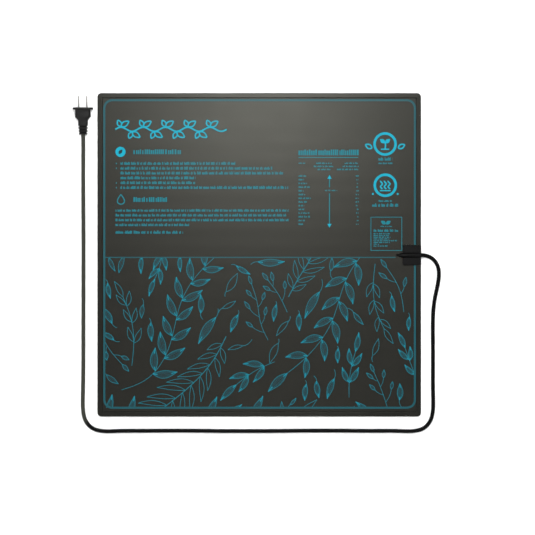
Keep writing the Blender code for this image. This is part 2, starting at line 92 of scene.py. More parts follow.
def shown(name, mesh, *materials, smooth_degrees=35):
    """A piece of the object from a mesh, shaded smooth, on the object's only body."""
    piece = bpy.data.objects.new(name, mesh)
    bpy.context.scene.collection.objects.link(piece)
    for material in materials:
        mesh.materials.append(material)
    mesh.shade_smooth()
    mesh.set_sharp_from_angle(angle=math.radians(smooth_degrees))
    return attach(piece, "root")


def mesh_of(name, vertices, faces):
    """A mesh with its faces turned outwards."""
    mesh = bpy.data.meshes.new(name)
    mesh.from_pydata([tuple(v) for v in vertices], [], faces)
    bm = bmesh.new()
    bm.from_mesh(mesh)
    bmesh.ops.recalc_face_normals(bm, faces=bm.faces)
    bm.to_mesh(mesh)
    bm.free()
    return mesh


def loft_mesh(name, loops):
    """A skin through closed loops of points, capped at both ends."""
    count = len(loops[0])
    faces = [list(range(count))[::-1], [count * (len(loops) - 1) + i for i in range(count)]]
    for ring in range(len(loops) - 1):
        for i in range(count):
            j = (i + 1) % count
            low, high = ring * count, (ring + 1) * count
            faces.append([low + i, low + j, high + j, high + i])
    return mesh_of(name, [p for loop in loops for p in loop], faces)


def spline_through(points, spacing):
    """Evenly spaced points on the natural cubic spline through the given points, as an array."""
    points = np.array(points, float)
    knots = np.concatenate([[0], np.cumsum(np.linalg.norm(np.diff(points, axis=0), axis=1))])
    gaps = np.diff(knots)
    count = len(points)
    system, slopes = np.eye(count), np.zeros_like(points)
    for i in range(1, count - 1):
        system[i, i - 1:i + 2] = gaps[i - 1], 2 * (gaps[i - 1] + gaps[i]), gaps[i]
        slopes[i] = 6 * (
            (points[i + 1] - points[i]) / gaps[i] - (points[i] - points[i - 1]) / gaps[i - 1]
        )
    bends = np.linalg.solve(system, slopes)
    at = np.linspace(0, knots[-1], 60 * count)
    i = np.clip(np.searchsorted(knots, at) - 1, 0, count - 2)
    gap = gaps[i][:, None]
    right = (at - knots[i])[:, None] / gap
    left = 1 - right
    fine = (
        left * points[i] + right * points[i + 1]
        + ((left**3 - left) * bends[i] + (right**3 - right) * bends[i + 1]) * gap**2 / 6
    )
    along = np.concatenate([[0], np.cumsum(np.linalg.norm(np.diff(fine, axis=0), axis=1))])
    places = np.linspace(0, along[-1], max(2, math.ceil(along[-1] / spacing) + 1))
    return np.stack([np.interp(places, along, fine[:, k]) for k in range(points.shape[1])], axis=1)


def rounded_rectangle(half_x, half_y, radius, steps):
    """The outline's (x, y) points, anticlockwise from the lower right corner."""
    points = []
    for corner, (sx, sy) in enumerate([(1, -1), (1, 1), (-1, 1), (-1, -1)]):
        for step in range(steps + 1):
            angle = math.pi / 2 * (corner - 1 + step / steps)
            points.append((
                sx * (half_x - radius) + radius * math.cos(angle),
                sy * (half_y - radius) + radius * math.sin(angle),
            ))
    return points


CORNER_STEPS = 10


def outline_from_top(half_x, half_y, radius):
    """A rounded rectangle's points, anticlockwise from its upper right corner."""
    points = rounded_rectangle(half_x, half_y, radius, CORNER_STEPS)
    return points[CORNER_STEPS + 1:] + points[:CORNER_STEPS + 1]


# Materials


class Surface:
    """A node material under construction: its Principled shader and the patterns that drive it."""

    def __init__(self, name, **constants):
        self.material = bpy.data.materials.new(name)
        self.material.use_nodes = True
        self.tree = self.material.node_tree
        self.shader = self.tree.nodes["Principled BSDF"]
        for socket, value in constants.items():
            self.shader.inputs[socket.replace("_", " ")].default_value = value
        self.place = self.tree.nodes.new("ShaderNodeTexCoord").outputs["Object"]

    def feed(self, socket, value):
        """Links an input to another node's output, or sets it to a plain value."""
        if isinstance(value, bpy.types.NodeSocket):
            self.tree.links.new(value, socket)
        else:
            socket.default_value = value

    def node(self, kind, settings=(), **links):
        """A new node with its settings, and its inputs linked or set by name."""
        made = self.tree.nodes.new(kind)
        for name, value in dict(settings).items():
            setattr(made, name, value)
        for name, value in links.items():
            self.feed(made.inputs[name.replace("_", " ")], value)
        return made

    def stretched(self, stretch):
        """The object's coordinates, in millimetres, times a stretch for each axis."""
        scale = [s / MM for s in stretch]
        return self.node("ShaderNodeMapping", Vector=self.place, Scale=scale).outputs["Vector"]

    def noise(self, size_mm, detail=3.0, roughness=0.55, stretch=(1, 1, 1)):
        vector = self.stretched([s / size_mm for s in stretch])
        made = self.node(
            "ShaderNodeTexNoise", Vector=vector, Scale=1.0, Detail=detail, Roughness=roughness
        )
        return made.outputs["Fac"]

    def cells(self, size_mm, feature="F1"):
        vector = self.stretched([1 / size_mm] * 3)
        made = self.node("ShaderNodeTexVoronoi", {"feature": feature}, Vector=vector, Scale=1.0)
        return made.outputs["Distance"]

    def waves(self, size_mm, direction):
        own_spacing = 0.31416  # between the texture's bands at a scale of 1
        made = self.node(
            "ShaderNodeTexWave", {"bands_direction": direction}, Vector=self.stretched((1, 1, 1)),
            Scale=own_spacing / size_mm, Distortion=0.0, Detail=1.0,
        )
        return made.outputs["Fac"]

    def ranged(self, value, low_in, high_in, low, high):
        made = self.node("ShaderNodeMapRange", Value=value, To_Min=low, To_Max=high)
        made.inputs["From Min"].default_value = low_in
        made.inputs["From Max"].default_value = high_in
        return made.outputs["Result"]

    def maths(self, operation, first, second):
        made = self.tree.nodes.new("ShaderNodeMath")
        made.operation = operation
        for socket, value in zip(made.inputs, (first, second)):
            self.feed(socket, value)
        return made.outputs["Value"]

    def blend(self, factor, first, second):
        """A colour between first and second, each a colour or another blend."""
        made = self.tree.nodes.new("ShaderNodeMix")
        made.data_type = "RGBA"
        self.tree.links.new(factor, made.inputs["Factor"])
        for socket, value in ((made.inputs[6], first), (made.inputs[7], second)):
            is_blend = isinstance(value, bpy.types.NodeSocket)
            self.feed(socket, value if is_blend else (*value, 1))
        return made.outputs[2]

    def relief(self, *heights):
        """Bumps from (height, depth in millimetres) pairs, each on top of the one before."""
        normal = None
        for height, depth in heights:
            bump = self.node("ShaderNodeBump", Height=height, Distance=depth * MM, Strength=1.0)
            if normal:
                self.tree.links.new(normal, bump.inputs["Normal"])
            normal = bump.outputs["Normal"]
        self.tree.links.new(normal, self.shader.inputs["Normal"])

    def finish(self, colour, roughness):
        self.tree.links.new(colour, self.shader.inputs["Base Color"])
        self.tree.links.new(roughness, self.shader.inputs["Roughness"])
        return self.material


def grey(level, warmth=0.0):
    """A near-neutral linear colour, short of blue by warmth."""
    return (level, level, level * (1 - warmth))


def vinyl(name, level, warmth, rough, grain_mm=0.35, grain_depth=0.008, extra=None, **constants):
    """Satin vinyl: mottled tone, fine pebbled grain, faint handling marks."""
    s = Surface(name, **constants)
    cloud = s.noise(38, detail=4)
    speck = s.noise(0.9, detail=2)
    rub = s.ranged(s.noise(9, detail=5, stretch=(1, 0.25, 1)), 0.62, 0.8, 0.0, 1.0)
    tone = s.maths("ADD", s.maths("MULTIPLY", cloud, 0.7), s.maths("MULTIPLY", speck, 0.3))
    colour = s.blend(tone, grey(0.86 * level, warmth), grey(1.16 * level, warmth))
    colour = s.blend(s.maths("MULTIPLY", rub, 0.1), colour, grey(1.9 * level, warmth))
    roughness = s.maths("ADD", s.ranged(cloud, 0.3, 0.7, rough - 0.01, rough + 0.01),
                        s.maths("MULTIPLY", rub, 0.03))
    heights = [(s.cells(grain_mm), grain_depth), (s.noise(5 * grain_mm, detail=2), grain_depth)]
    if extra:
        heights.append(extra(s))
    s.relief(*heights)
    return s.finish(colour, roughness)


def ink(name, colour, rough=0.6, gloss=0.06):
    """Screen-printed ink: slightly uneven cover over the vinyl's grain."""
    s = Surface(name, Specular_IOR_Level=gloss)
    cover = s.maths("ADD", s.maths("MULTIPLY", s.noise(14, detail=3), 0.6),
                    s.maths("MULTIPLY", s.noise(0.5, detail=2), 0.4))
    worn = [0.8 * c for c in colour]
    full = [min(1, 1.12 * c) for c in colour]
    s.relief((s.cells(0.35), 0.008), (s.noise(1.2, detail=2), 0.008))
    return s.finish(s.blend(cover, worn, full), s.ranged(cover, 0.3, 0.7, rough - 0.04, rough + 0.04))


def metal(name, colour, rough, stretch):
    """Drawn or stamped metal with fine lengthwise marks."""
    s = Surface(name, Metallic=1.0)
    lines = s.noise(0.25, detail=4, stretch=stretch)
    stain = s.noise(4, detail=3)
    tone = s.maths("ADD", s.maths("MULTIPLY", lines, 0.5), s.maths("MULTIPLY", stain, 0.5))
    s.relief((lines, 0.006))
    dull = [0.8 * c for c in colour]
    return s.finish(s.blend(tone, dull, colour), s.ranged(tone, 0.35, 0.65, rough - 0.06, rough + 0.1))


def felt():
    s = Surface("felt_fibres", Sheen_Weight=0.4)
    fibres = s.noise(0.6, detail=6, roughness=0.7, stretch=(1, 0.3, 1))
    tufts = s.noise(5, detail=3)
    s.relief((fibres, 0.15), (tufts, 0.1))
    return s.finish(s.blend(fibres, (0.5, 0.5, 0.46), (0.78, 0.77, 0.72)),
                    s.ranged(tufts, 0.3, 0.7, 0.9, 1.0))


def foil():
    s = Surface("crinkled_foil", Metallic=1.0)
    creases = s.cells(9, feature="DISTANCE_TO_EDGE")
    s.relief((creases, 0.2), (s.noise(2.5, detail=3), 0.03))
    return s.finish(s.blend(s.noise(6), (0.72, 0.73, 0.75), (0.86, 0.86, 0.88)),
                    s.ranged(creases, 0.0, 0.3, 0.35, 0.22))


def jacket(name, colour, rough, lay=0.0, painted_sheen=None, **constants):
    """An extruded jacket: fine grain, a slight bloom, and a painted sheen, a paler left run, if its colour
    is given.
    """
    s = Surface(name, **constants)
    bloom = s.noise(11, detail=4)
    grain = s.noise(0.4, detail=2)
    light = [min(1, 1.5 * c + 0.002) for c in colour]
    s.relief((grain, 0.012), (s.noise(3, detail=2), 0.03 + lay))
    shade = s.blend(s.ranged(bloom, 0.35, 0.75, 0.0, 1.0), colour, light)
    # Painted sheen: the left run blends to a paler colour that stands in for light falling on it
    if painted_sheen:
        across = s.node("ShaderNodeSeparateXYZ", Vector=s.place).outputs["X"]
        shade = s.blend(s.ranged(across, PALER_FROM, PALER_BY, 0.0, 1.0), shade, painted_sheen)
    return s.finish(shade, s.ranged(bloom, 0.3, 0.7, rough - 0.05, rough + 0.06))


def wire_rows(s):
    """The heating wire's rows, just felt through the top cover."""
    return s.waves(27, direction="Y"), 0.05


def underside_pebble(s):
    """A coarse pebble that keeps the mat from slipping."""
    return s.cells(2.2), 0.07


def spark_texture(s):
    """The moulded entry's spark-eroded texture."""
    return s.noise(0.8, detail=4), 0.05


OLIVE_GLOSS = (1, 1, 0.88, 1)
PANEL_VINYL = vinyl("panel_vinyl", 0.006, 0.16, 0.40, extra=wire_rows,
                    Specular_IOR_Level=0.2, Specular_Tint=OLIVE_GLOSS)
RIM_VINYL = vinyl("rim_vinyl", 0.0042, 0.16, 0.39, grain_mm=0.45,
                  Specular_IOR_Level=0.2, Specular_Tint=OLIVE_GLOSS)
BASE_VINYL = vinyl("base_vinyl", 0.012, 0.06, 0.6, extra=underside_pebble)
ENTRY_PLASTIC = vinyl("entry_plastic", 0.0025, 0.0, 0.6, grain_mm=0.3, extra=spark_texture,
                      Specular_IOR_Level=0.08)
RELIEF_PLASTIC = vinyl("relief_plastic", 0.001, 0.0, 0.4, grain_mm=0.3, grain_depth=0.006,
                       Specular_IOR_Level=0.08)
PLUG_VINYL = vinyl("plug_vinyl", 0.0045, 0.02, 0.42, grain_mm=0.3, Specular_IOR_Level=0.17)
# Painted shade: a darker, duller copy of the plug's vinyl for the floors of the neck's grooves
GROOVE_SHADE_VINYL = vinyl("plug_groove_painted_shade", 0.0012, 0.02, 0.6, grain_mm=0.3, Specular_IOR_Level=0.06)
INSERT_PLASTIC = vinyl("insert_plastic", 0.03, 0.0, 0.45, grain_mm=0.25)
# The lead's paler left run is a painted sheen
CORD_JACKET = jacket("cord_jacket", (0.001, 0.001, 0.001), 0.5, painted_sheen=(0.034, 0.035, 0.028),
                     Specular_IOR_Level=0.03)
LINE_JACKET = jacket("line_core_jacket", (0.012, 0.012, 0.012), 0.4)
NEUTRAL_JACKET = jacket("neutral_core_jacket", (0.66, 0.66, 0.62), 0.4)
WIRE_JACKET = jacket("heating_wire_silicone", (0.42, 0.06, 0.04), 0.5)
SHRINK_TUBE = jacket("shrink_tube", (0.014, 0.014, 0.014), 0.58, lay=0.03)
POTTING = jacket("potting_resin", (0.05, 0.048, 0.04), 0.3)
CRIMP_TIN = metal("crimp_tin", (0.66, 0.64, 0.6), 0.36, (1, 0.1, 1))
NICKEL = metal("blade_nickel", (0.24, 0.235, 0.225), 0.4, (1, 0.08, 1))
INK_BRIGHT = ink("ink_bright", (0.008, 0.25, 0.34))
INK_FRAME = ink("ink_frame", (0.008, 0.063, 0.077), 0.42, gloss=0.11)
INK_TEXT = ink("ink_text", (0.009, 0.137, 0.174))
INK_LEAF = ink("ink_leaf", (0.008, 0.12, 0.157))
INK_LEAF_ENDS = ink("ink_leaf_ends", (0.008, 0.185, 0.25))
INK_VEIN = ink("ink_vein", (0.008, 0.078, 0.1))
INK_DARK = ink("ink_dark", (0.012, 0.03, 0.034))

for node, material in {
    "top_cover": PANEL_VINYL, "bottom_cover": BASE_VINYL, "insulation_felt": felt(),
    "reflector_foil": foil(), "heat_spreader_foil": foil(), "heating_wire": WIRE_JACKET,
    "entry_base": ENTRY_PLASTIC, "line_crimp": CRIMP_TIN, "neutral_crimp": CRIMP_TIN,
    "line_shrink_sleeve": SHRINK_TUBE, "neutral_shrink_sleeve": SHRINK_TUBE,
    "potting_compound": POTTING, "line_core": LINE_JACKET, "neutral_core": NEUTRAL_JACKET,
    "plug_insert": INSERT_PLASTIC, "plug_line_core": LINE_JACKET,
    "plug_neutral_core": NEUTRAL_JACKET,
}.items():
    frame["nodes"][node].data.materials.clear()
    frame["nodes"][node].data.materials.append(material)


# Camera and lead


def plug_place():
    """The plug's place: its +Y leaves its face, which the record states as a mount."""
    mount = next(m for m in frame["record"]["mounts"] if m["name"] == "plug_face")
    low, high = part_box("plug_body")
    facing = Vector(mount["axis"])
    tilt = Matrix.Rotation(math.atan2(facing.z, facing.y), 4, "X")
    face = Vector(((low.x + high.x) / 2, mount["pos_m"][1], mount["pos_m"][2]))
    return Matrix.Translation(face) @ tilt @ Matrix.Translation((0, -PLUG_FACE, 0))


PLUG_PLACE = plug_place()


def add_camera():
    """Straight above the mat, a little right of and below its centre."""
    focal, sensor, view_width = 100, 36, 0.8412
    data = bpy.data.cameras.new("camera")
    data.lens, data.sensor_width = focal, sensor
    data.clip_start, data.clip_end = 0.01, 50
    camera = bpy.data.objects.new("camera", data)
    camera.location = (0.0130, -0.0199, view_width * focal / sensor)
    bpy.context.scene.collection.objects.link(camera)
    bpy.context.scene.camera = camera


def add_cord():
    """The lead, with its tails inside the power entry and inside the plug's neck."""
    start = Vector(CORD_ROUTE[0])
    neck = [PLUG_PLACE @ Vector((0, along, 0)) for along in (-13 * MM, -0.3 * MM, TAIL_IN_PLUG)]
    route = [start - Vector((TAIL_IN_ENTRY, 0, 0)), *CORD_ROUTE, *neck]
    points = spline_through(route, 2.5 * MM)
    points[:, 2] = np.maximum(points[:, 2], CORD_RADIUS)
    curve = bpy.data.curves.new("power_cord_lead", "CURVE")
    curve.dimensions = "3D"
    curve.bevel_depth = CORD_RADIUS
    curve.bevel_resolution = 6
    curve.use_fill_caps = True
    spline = curve.splines.new("POLY")
    spline.points.add(len(points) - 1)
    for place, point in zip(spline.points, points):
        place.co = (*point, 1)
    curve.materials.append(CORD_JACKET)
    lead = bpy.data.objects.new("power_cord_lead", curve)
    bpy.context.scene.collection.objects.link(lead)
    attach(lead, "root")
    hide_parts("power_cord", "lead_tail", "plug_lead_tail")
    return lead


add_camera()
LEAD = add_cord()


# Plug


def plug_section(y, half_x, half_z, corner=0.62):
    """A rounded rectangle across the plug's axis at y."""
    outline = rounded_rectangle(half_x, half_z, corner * half_z, 8)
    return [(x, y, z) for x, z in outline]


def between(start, end, share):
    """The value from start to end, leaving both gently."""
    return start + (end - start) * (0.5 - 0.5 * math.cos(math.pi * share))


# Along the plug from the end of its neck, in millimetres
GROOVES = (2.9, 7.6, 12.3)
GROOVE_HALF_WIDTH = 1.2
NECK_LENGTH = 21.8
TAPER_START, TAPER_END = 21.4, 28.2
FLANGE_BACK = 38.7
RECESS_DEPTH, RECESS_HALF_X, RECESS_HALF_Z = 4, 9.8, 5.5


def plug_outline():
    """(y, half width, half height) from the neck's end to the plug's face."""
    neck, root, grip, flange = (6.6, 4.8), (7.55, 5.3), (12.2, 6.7), (15.6, 8.5)
    spans = [(-0.1, neck[0] - 0.9, neck[1] - 0.9), (0, neck[0] - 0.6, neck[1] - 0.6),
             (0.25, neck[0] - 0.2, neck[1] - 0.2), (0.7, *neck)]
    for middle in GROOVES:
        share = middle / NECK_LENGTH
        half_x = neck[0] + share * (root[0] - neck[0])
        half_z = neck[1] + share * (root[1] - neck[1])
        for offset, depth in ((-1.4, 0), (-1.15, 0.2), (-1.0, 1.35), (1.0, 1.35), (1.15, 0.2), (1.4, 0)):
            spans.append((middle + offset, half_x - depth, half_z - depth))
    spans += [(16.5, 7.3, 5.1), (19.5, 7.45, 5.2)]
    for step in range(9):
        y = TAPER_START + (TAPER_END - TAPER_START) * step / 8
        spans.append((y, between(root[0], grip[0], step / 8), between(root[1], grip[1], step / 8)))
    spans += [(33, *grip), (38.0, *grip), (38.45, grip[0] + 0.12, grip[1] + 0.12),
              (FLANGE_BACK, grip[0] + 0.5, grip[1] + 0.5), (38.72, flange[0] - 0.6, flange[1] - 0.6),
              (38.85, flange[0] - 0.2, flange[1] - 0.2), (39.2, *flange), (41.6, *flange),
              (42.0, flange[0] - 0.2, flange[1] - 0.2), (42.18, flange[0] - 0.6, flange[1] - 0.6)]
    return spans


def add_plug():
    """The moulded body with a recess for the insert and painted shade in its neck's grooves, and the two
    blades.
    """
    loops = [plug_section(y * MM, x * MM, z * MM) for y, x, z in plug_outline()]
    recess = [plug_section(PLUG_FACE - deep * MM, RECESS_HALF_X * MM, RECESS_HALF_Z * MM, 0.2)
              for deep in (0.02, RECESS_DEPTH)]
    body = shown("plug_shell", loft_mesh("plug_shell", loops + recess), PLUG_VINYL, GROOVE_SHADE_VINYL,
                 smooth_degrees=40)
    # Painted shade: the groove floors take the darker second material
    for face in body.data.polygons:
        if any(abs(face.center.y - middle * MM) < GROOVE_HALF_WIDTH * MM for middle in GROOVES):
            face.material_index = 1
    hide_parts("plug_body")
    pieces = [body]
    for name, side in (("line", 1), ("neutral", -1)):
        pieces.append(add_blade(f"{name}_blade_plated", side * BLADE_SPACING / 2))
        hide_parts(f"{name}_blade")
    for piece in pieces:
        piece.data.transform(PLUG_PLACE)
    return pieces


def add_blade(name, x):
    """A stamped blade: chamfered tip, round hole, softened edges."""
    thick, length, width = BLADE_SIZE
    chamfer, half = 1.2 * MM, width / 2
    root, tip = PLUG_FACE - 6 * MM, PLUG_FACE + length
    outline = [(root, -half), (tip - chamfer, -half), (tip, chamfer - half), (tip, half - chamfer),
               (tip - chamfer, half), (root, half)]
    centre, radius, sides = (PLUG_FACE + 11.7 * MM, 0), 1.6 * MM, 20
    hole = [(centre[0] + radius * math.cos(a), centre[1] + radius * math.sin(a))
            for a in np.linspace(0, 2 * math.pi, sides, endpoint=False)]
    bm = bmesh.new()
    rings = []
    for ring in (outline, hole):
        made = [bm.verts.new((x - thick / 2, y, z)) for y, z in ring]
        rings += [bm.edges.new((a, b)) for a, b in zip(made, made[1:] + made[:1])]
    filled = bmesh.ops.triangle_fill(bm, edges=rings, use_beauty=True, use_dissolve=False)
    faces = [part for part in filled["geom"] if isinstance(part, bmesh.types.BMFace)]
    made = bmesh.ops.extrude_face_region(bm, geom=faces)
    moved = [part for part in made["geom"] if isinstance(part, bmesh.types.BMVert)]
    bmesh.ops.translate(bm, vec=(thick, 0, 0), verts=moved)
    bmesh.ops.recalc_face_normals(bm, faces=bm.faces)
    mesh = bpy.data.meshes.new(name)
    bm.to_mesh(mesh)
    bm.free()
    blade = shown(name, mesh, NICKEL)
    soften = blade.modifiers.new("soft edges", "BEVEL")
    soften.width, soften.segments = 0.22 * MM, 2
    soften.limit_method, soften.angle_limit = "ANGLE", math.radians(40)
    return blade


PLUG_PIECES = add_plug()


# Edge frame and power entry


def add_rim():
    """The welded frame: a rounded outer shoulder, a flat crown and a soft slope to the panel."""
    half = RIM_HIGH.x
    top, foot = RIM_HIGH.z / MM, RIM_LOW.z / MM
    panel, brow = PANEL_Z / MM, RIM_HIGH.z / MM - 0.19
    bend, crown_end, width, seat = 1.3, 7.0, 8.0, 4
    shoulder = [(bend - bend * math.cos(a), brow - bend + bend * math.sin(a))
                for a in np.linspace(0, math.pi / 2, 6)]
    crown = [(inset, brow + (top - brow) * (inset - bend) / (crown_end - bend))
             for inset in (1.6, 3, 5, 6.7)]
    slope = [(between(crown_end, width, i / 6), between(top, panel + 0.12, i / 6)) for i in range(7)]
    profile = [(0, foot), (0, 0.5 * (foot + top)), *shoulder, *crown, *slope, (width, panel),
               (seat, panel), (seat, foot)]
    gap_low, gap_high = BASE_LOW.y - 0.3 * MM, BASE_HIGH.y + 0.3 * MM
    loops = []
    for inset, z in profile:
        side = half - inset * MM
        corners = outline_from_top(side, side, max(6 - inset, 0.8) * MM)
        path = [(side, gap_high), *corners, (side, gap_low)]
        loops.append([(x, y, z * MM) for x, y in path])
    rings = [[loop[i] for loop in loops] for i in range(len(loops[0]))]
    rim = shown("welded_rim", loft_mesh("welded_rim", rings), RIM_VINYL, smooth_degrees=50)
    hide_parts("edge_frame")


def add_entry():
    """The patch over the power entry, and the tapered strain relief that runs through it."""
    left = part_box("entry_base")[0].x
    right, low, high = PATCH_HIGH.x, PATCH_LOW.y, PATCH_HIGH.y
    middle = (low + high) / 2
    loops = []
    for inset, z in ((0.05, 4.9), (0, 5.05), (0, 5.3), (0.12, 5.48), (0.35, 5.57), (0.7, 5.6)):
        half_x, half_y = (right - left) / 2 - inset * MM, (high - low) / 2 - inset * MM
        outline = rounded_rectangle(half_x, half_y, (1.6 - inset) * MM, 6)
        loops.append([((left + right) / 2 + x, middle + y, z * MM) for x, y in outline])
    patch = shown("entry_patch", loft_mesh("entry_patch", loops), ENTRY_PLASTIC, smooth_degrees=60)
    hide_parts("entry_cover")

    nose_tip, ridge_top = PATCH_LOW.x, PATCH_HIGH.z
    floor = PANEL_Z + 0.1 * MM
    ridge_half, nose_half, nose_top = 4.2, 1.5, 4.7 * MM
    taper = left + 0.5 * MM
    stations = [(right - 0.2 * MM, 4.0, ridge_top - 0.2 * MM), (right - 0.6 * MM, ridge_half, ridge_top),
                (left + 6 * MM, ridge_half, ridge_top), (taper, ridge_half, ridge_top)]
    for step in range(1, 9):
        share = step / 8
        stations.append((taper + (nose_tip - taper) * share, between(ridge_half, nose_half, share**0.8),
                         ridge_top + (nose_top - ridge_top) * share**1.25))
    stations.append((nose_tip - 0.15 * MM, 0.9, 4.3 * MM))
    rings = []
    for x, half_width, top in stations:
        ring = [(x, middle - half_width * MM, floor), (x, middle + half_width * MM, floor)]
        shoulder = floor + 0.15 * (top - floor)
        for angle in np.linspace(0, math.pi, 21):
            ring.append((
                x, middle + half_width * MM * math.cos(angle),
                shoulder + (top - shoulder) * math.sin(angle),
            ))
        rings.append(ring)
    relief = shown("strain_relief", loft_mesh("strain_relief", rings), RELIEF_PLASTIC, smooth_degrees=50)


add_rim()
add_entry()


# Print: thin slabs of ink, laid out in millimetres, with a complex number for each point

FRAME_LEFT, FRAME_RIGHT, FRAME_BOTTOM, FRAME_TOP = -243.2, 244.4, -240.1, 242.7
DIVIDER_Y = -4.0
ENTRY_LEFT = BASE_LOW.x / MM - 0.6
ENTRY_LOW, ENTRY_HIGH = BASE_LOW.y / MM - 0.6, BASE_HIGH.y / MM + 0.6
draw = random.Random(7)


class Print:
    """One ink's slabs, gathered into one mesh. Strokes that cross differ a little in height."""

    SUNK = 0.05  # how far a slab reaches down into the cover
    LEVELS, LEVEL_STEP = 6, 0.002

    def __init__(self, name, material, slot, height):
        self.name, self.material, self.slot, self.height = name, material, slot, height
        self.vertices, self.faces, self.strokes = [], [], 0

    def slab(self, left, right, closed=False):
        """A slab between two rows of points; its left row is on the left going forward."""
        start, count = len(self.vertices), len(left)
        level = self.LEVEL_STEP * (self.strokes % self.LEVELS)
        low, top = PANEL_Z - self.SUNK * MM, PANEL_Z + (self.height + level) * MM
        self.strokes += 1
        for a, b in zip(left, right):
            for point, z in ((a, low), (a, top), (b, top), (b, low)):
                self.vertices.append((point.real * MM, point.imag * MM, z))
        for k in range(count if closed else count - 1):
            here, there = start + 4 * k, start + 4 * ((k + 1) % count)
            self.faces += [(here + i, here + (i + 1) % 4, there + (i + 1) % 4, there + i)
                           for i in range(4)]
        if not closed:
            last = start + 4 * (count - 1)
            self.faces += [(start + 3, start + 2, start + 1, start),
                           (last, last + 1, last + 2, last + 3)]

    def ribbon(self, points, width, closed=False):
        points = np.asarray(points, complex)
        if closed:
            ahead = np.roll(points, -1) - np.roll(points, 1)
        else:
            ahead = np.gradient(points)
        side = 0.5j * width * ahead / np.abs(ahead)
        self.slab(points + side, points - side, closed)

    def bar(self, left, right, low, high):
        middle = 1j * (low + high) / 2
        self.ribbon([left + middle, right + middle], high - low)

    def ring(self, centre, radius, width):
        turns = np.linspace(0, 2 * math.pi, 64, endpoint=False)
        self.ribbon(centre + radius * np.exp(1j * turns), width, closed=True)

    def disc(self, centre, radius, sides=40):
        across = np.linspace(0, math.pi, sides // 2)[1:-1]
        upper = centre + radius * np.exp(1j * (math.pi - across))
        lower = centre + radius * np.exp(1j * (across - math.pi))
        self.slab(upper, lower)

    def clipped(self, points, width):
        """The part of a ribbon that the lower field shows."""
        points = np.asarray(points, complex)
        inside = (points.real > FRAME_LEFT) & (points.real < FRAME_RIGHT)
        inside &= (points.imag > FRAME_BOTTOM) & (points.imag < DIVIDER_Y)
        inside &= ~((points.real > ENTRY_LEFT) & (points.imag > ENTRY_LOW))
        held = np.clip(points.real, FRAME_LEFT, FRAME_RIGHT) + 1j * np.clip(
            points.imag, FRAME_BOTTOM, DIVIDER_Y)
        run = []
        for k, shown_here in enumerate(inside):
            if shown_here:
                if not run and k and held[k - 1] != held[k]:
                    run.append(held[k - 1])
                run.append(points[k])
            elif run:
                if held[k] != run[-1]:
                    run.append(held[k])
                if len(run) > 1:
                    self.ribbon(run, width)
                run = []
        if len(run) > 1:
            self.ribbon(run, width)

    def finish(self):
        mesh = bpy.data.meshes.new(self.name)
        mesh.from_pydata(self.vertices, [], self.faces)
        piece = shown(self.name, mesh, self.material)


frame_print = Print("print_frame", INK_FRAME, "printed_vinyl", 0.064)
small_print = Print("print_small_lines", INK_TEXT, "printed_vinyl", 0.038)
bright_print = Print("print_bright_marks", INK_BRIGHT, "printed_vinyl", 0.051)
dark_print = Print("print_dark_marks", INK_DARK, "printed_vinyl", 0.064)
leaf_print = Print("print_leaves", INK_LEAF, "printed_vinyl", 0.038)
stalk_print = Print("print_stalks", INK_LEAF, "printed_vinyl", 0.025)
tip_print = Print("print_leaf_ends", INK_LEAF_ENDS, "printed_vinyl", 0.051)
vein_print = Print("print_veins", INK_VEIN, "printed_vinyl", 0.012)


def turned(degrees):
    """The unit step in a direction, anticlockwise from +X."""
    return complex(math.cos(math.radians(degrees)), math.sin(math.radians(degrees)))


def unit(step):
    return step / abs(step)


def path(*points):
    """A smooth line through (x, y) points."""
    return spline_through(points, 2.0) @ np.array([1, 1j])


INNER_LINES = {
    "nested": (-0.76, -0.52, -0.28, 0.12, 0.46, 0.75),
    "lined": (-0.78, -0.52, -0.26, 0, 0.26, 0.52, 0.78),
    "bud": (-0.35, 0.35),
}


def leaf(base, heading, length, width, kind="nested", bend=0.0):
    """A pointed leaf from base: its two sides, and the lines within that its kind has."""
    spine, reach = lens(base, heading, length, width, bend)
    for side in (-1, 1):
        leaf_print.clipped(spine + side * reach, 0.8)
    if kind in ("nested", "lined"):
        for end in (slice(0, 4), slice(-5, None)):
            tip_print.clipped(spine[end], 0.9)
    mirror = draw.choice((-1, 1))
    for share in INNER_LINES.get(kind, ()):
        vein_print.clipped(spine + mirror * share * reach, 0.5)


def lens(base, heading, length, width, bend=0.0):
    """A leaf's midline, and how far its side lies from it, at 17 steps from base to tip."""
    along = np.linspace(0, 1, 17)
    lean = heading * np.exp(1j * bend * along)
    reach = 0.5j * width * np.sin(math.pi * along**0.88) ** 1.08 * lean
    return base + length * along * lean, reach


def stalk(points, width=0.85):
    stalk_print.clipped(points, width)


def leaf_pairs(stem, shares, length, width, spread, kind):
    """Leaves left and right of a stem, at shares of its length, smaller towards its tip."""
    ahead = np.gradient(stem)
    for order, share in enumerate(shares):
        for side in (-1, 1):
            k = min(len(stem) - 1, int((share + 0.01 * side) * (len(stem) - 1)))
            size = (1 - 0.12 * order / len(shares)) * draw.uniform(0.92, 1.06)
            heading = unit(ahead[k]) * turned(side * (spread + draw.uniform(-5, 5)))
            leaf(stem[k], heading, size * length, size * width, kind, side * -0.25)


def sprig(points, shares, length, width, spread, kind="nested"):
    """A stem with pairs of leaves, and one more leaf at its tip."""
    stem = path(*points)
    stalk(stem)
    leaf_pairs(stem, shares, length, width, spread, kind)
    leaf(stem[-1], unit(stem[-1] - stem[-3]), 1.1 * length, width, kind, 0.1)


def fern(points, count, length, width):
    """A frond: a stem with narrow curved leaflets, longer towards its tip."""
    stem = path(*points)
    stalk(stem, 1.2)
    ahead = np.gradient(stem)
    for order in range(count):
        share = (order + 0.9) / count
        size = 0.5 + 0.6 * math.sin(0.5 * math.pi * min(1, 1.2 * share))
        for side in (-1, 1):
            k = min(len(stem) - 1, int((share + 0.02 * side) * (len(stem) - 1)))
            heading = unit(ahead[k]) * turned(side * (54 + draw.uniform(-4, 4)))
            leaf(stem[k], heading, size * length, width, "outline", side * -0.2)


